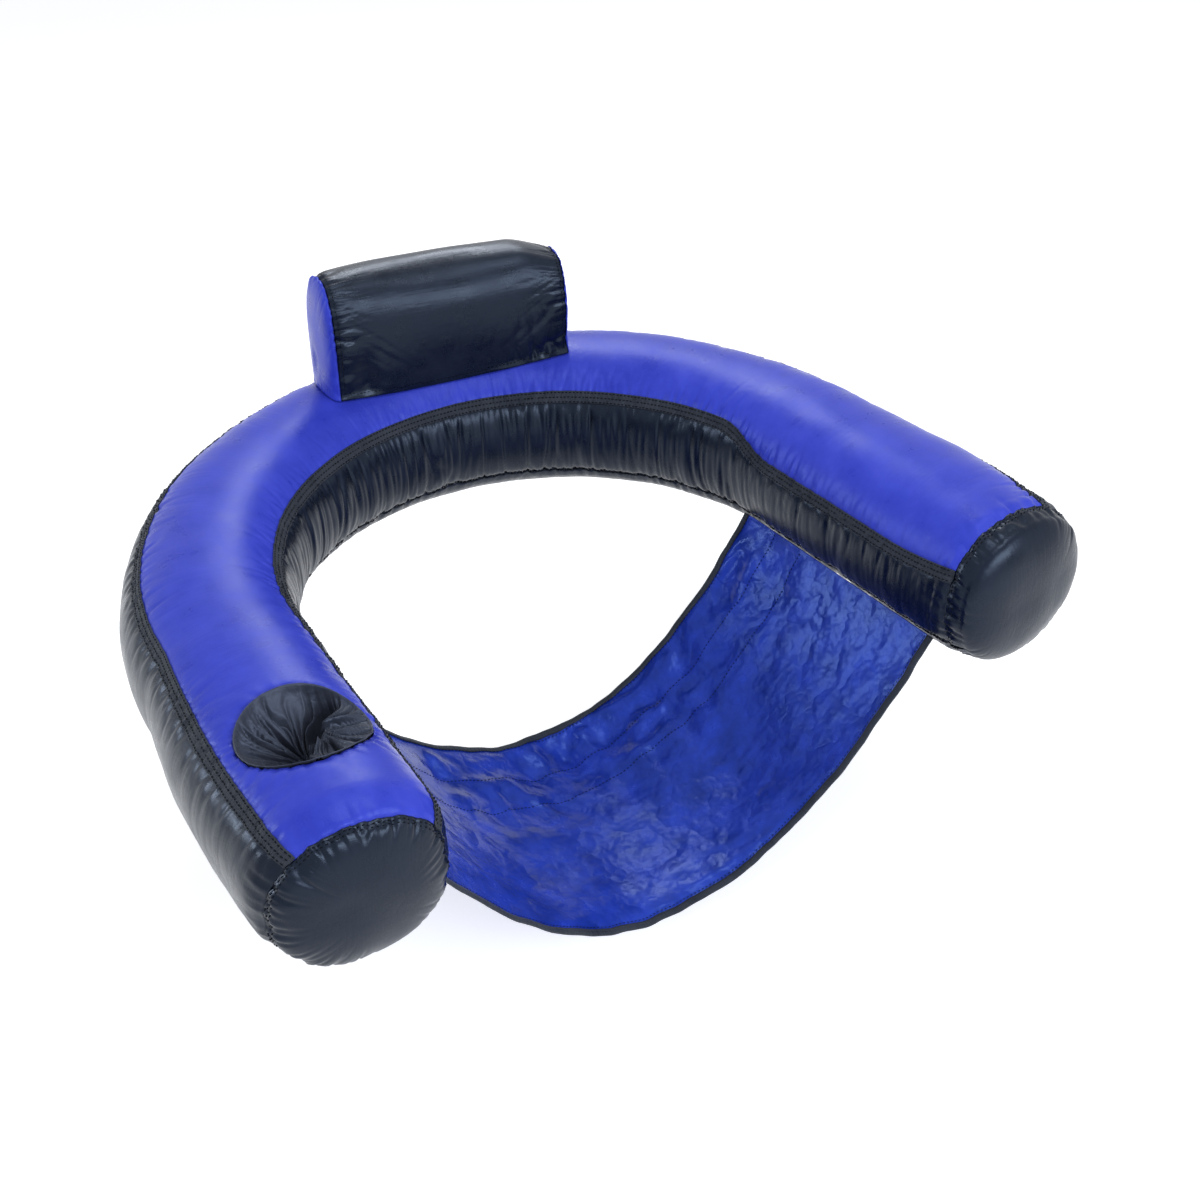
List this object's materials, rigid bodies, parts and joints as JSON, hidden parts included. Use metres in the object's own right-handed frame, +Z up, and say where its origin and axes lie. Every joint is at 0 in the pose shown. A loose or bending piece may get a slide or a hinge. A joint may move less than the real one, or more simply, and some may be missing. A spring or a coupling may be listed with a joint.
{
  "type": "inflatable pool chair",
  "caption": "Inflatable pool chair: a fabric-covered U-shaped air tube with a head cushion, a hanging seat sling, a cup holder in one arm and push-in air valves.",
  "frame": {"origin": "on the tube's underside, at the middle of the back, where the inflated tube rests on the water or on a support", "axes": "+Z up, arms towards -Y, cup holder in the arm on the -X side, head cushion at the back"},
  "size_m": [0.901, 0.7536, 0.484],
  "materials": {
    "blue_nylon": "coated nylon with a soft sheen",
    "black_nylon": "coated nylon with a soft sheen",
    "seam_tape": "flat woven tape, matte",
    "bladder_film": "vinyl film, glossy",
    "clear_vinyl": "moulded soft vinyl, glossy"
  },
  "bodies": {
    "chair": {"main_bladder": "bladder_film", "top_panel": "blue_nylon", "outer_side_panel": "black_nylon", "bottom_panel": "black_nylon", "inner_side_panel": "black_nylon", "end_cap_cup_side": "black_nylon", "end_cap_far_side": "black_nylon", "inner_seam_tape": "seam_tape", "outer_seam_tape": "seam_tape", "cup_pocket": "black_nylon", "main_port_facing": "seam_tape", "main_valve_flange": "clear_vinyl", "headrest_bladder": "bladder_film", "headrest_wrap": "black_nylon", "headrest_gusset_cup_side": "blue_nylon", "headrest_gusset_far_side": "blue_nylon", "headrest_port_facing": "seam_tape", "headrest_valve_flange": "clear_vinyl", "seat_sling": "blue_nylon", "sling_rear_binding": "seam_tape", "sling_front_binding": "seam_tape", "sling_strap": "blue_nylon"},
    "main_stem": {"main_valve_stem": "clear_vinyl", "main_valve_skirt": "clear_vinyl"},
    "main_plug": {"main_valve_plug": "clear_vinyl", "main_valve_tether": "clear_vinyl"},
    "main_flap": {"main_valve_flap": "clear_vinyl"},
    "headrest_stem": {"headrest_valve_stem": "clear_vinyl", "headrest_valve_skirt": "clear_vinyl"},
    "headrest_plug": {"headrest_valve_plug": "clear_vinyl", "headrest_valve_tether": "clear_vinyl"},
    "headrest_flap": {"headrest_valve_flap": "clear_vinyl"}
  },
  "joints": [
    {"name": "main_stem_rise", "type": "slide", "parent": "chair", "child": "main_stem", "axis": [-0.3863, 0.9194, 0.0742], "range_m": [0, 0.012], "deforming": ["main_valve_skirt", "main_valve_tether"]},
    {"name": "main_plug_pull", "type": "slide", "parent": "main_stem", "child": "main_plug", "axis": [-0.3863, 0.9194, 0.0742], "range_m": [0, 0.01], "deforming": ["main_valve_tether"]},
    {"name": "main_flap_open", "type": "hinge", "parent": "main_stem", "child": "main_flap", "pos_m": [-0.15854, 0.03448, 0.09715], "axis": [-0.9219, -0.3874, 0], "range_deg": [0, 35], "stiffness_Nm_per_rad": 0.00001},
    {"name": "headrest_stem_rise", "type": "slide", "parent": "chair", "child": "headrest_stem", "axis": [0.1736, 0.9848, 0], "range_m": [0, 0.012], "deforming": ["headrest_valve_skirt", "headrest_valve_tether"]},
    {"name": "headrest_plug_pull", "type": "slide", "parent": "headrest_stem", "child": "headrest_plug", "axis": [0.1736, 0.9848, 0], "range_m": [0, 0.01], "deforming": ["headrest_valve_tether"]},
    {"name": "headrest_flap_open", "type": "hinge", "parent": "headrest_stem", "child": "headrest_flap", "pos_m": [0.06452, 0.01885, 0.2086], "axis": [-0.9848, 0.1736, 0], "range_deg": [0, 35], "stiffness_Nm_per_rad": 0.00001}
  ]
}
